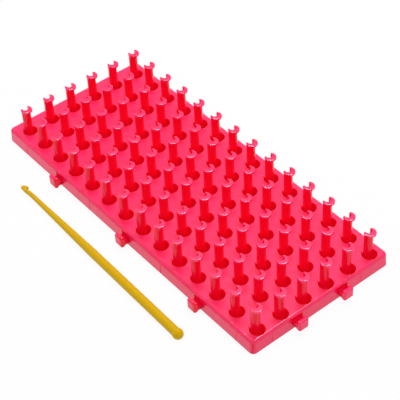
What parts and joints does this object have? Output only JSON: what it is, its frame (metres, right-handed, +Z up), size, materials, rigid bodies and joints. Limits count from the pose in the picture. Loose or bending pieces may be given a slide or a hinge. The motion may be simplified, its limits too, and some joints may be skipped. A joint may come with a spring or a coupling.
{
  "type": "peg loom board",
  "caption": "Hand knitting board: a shallow hollow deck with rows of grooved pegs, link tabs on two sides, and a loose crochet hook lying in front.",
  "frame": {"origin": "on the table, under the middle of the floor area that the board and the hook cover together", "axes": "+X along the board's long side, away from the side that the peg grooves face; +Y across it, away from the hook; +Z up, along the pegs"},
  "size_m": [0.2298, 0.1217, 0.0256],
  "materials": {
    "red_pink_plastic": "moulded gloss",
    "yellow_plastic": "moulded satin"
  },
  "bodies": {
    "board": {"peg_board": "red_pink_plastic"},
    "hook": {"crochet_hook": "yellow_plastic"}
  },
  "joints": [
    {"name": "hook_lift", "type": "slide", "parent": "board", "child": "hook", "axis": [0, 0, 1], "range_m": [0, 0.04]}
  ]
}
